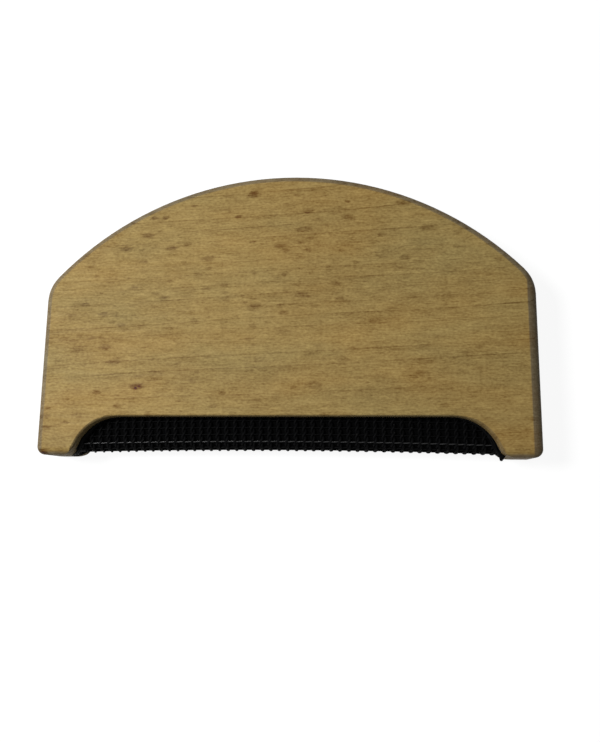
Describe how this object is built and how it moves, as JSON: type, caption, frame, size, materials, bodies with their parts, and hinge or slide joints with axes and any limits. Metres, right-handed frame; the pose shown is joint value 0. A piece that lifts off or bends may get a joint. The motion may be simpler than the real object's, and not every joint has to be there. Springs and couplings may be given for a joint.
{
  "type": "sweater comb",
  "caption": "Hand-held wooden sweater comb with an arched top, two feet and a black mesh wrapped round a thin web, which lifts pills and lint off knitwear.",
  "frame": {"origin": "on the back face, halfway across the width and halfway up the height of the block", "axes": "+X across the comb's width, +Y from the feet towards the arched top, +Z out of the back face towards the front face; the comb lies on its back face"},
  "size_m": [0.095, 0.0556, 0.01],
  "materials": {
    "beech": "sanded, lightly oiled",
    "lining": "matt woven cloth",
    "mesh": "coated strands, satin gloss",
    "glue": "set glue"
  },
  "bodies": {
    "root": {"block": "beech", "lining": "lining", "warp_strands": "mesh", "weft_strands": "mesh", "loose_strands": "mesh", "front_glue": "glue", "rear_glue": "glue"}
  },
  "joints": []
}
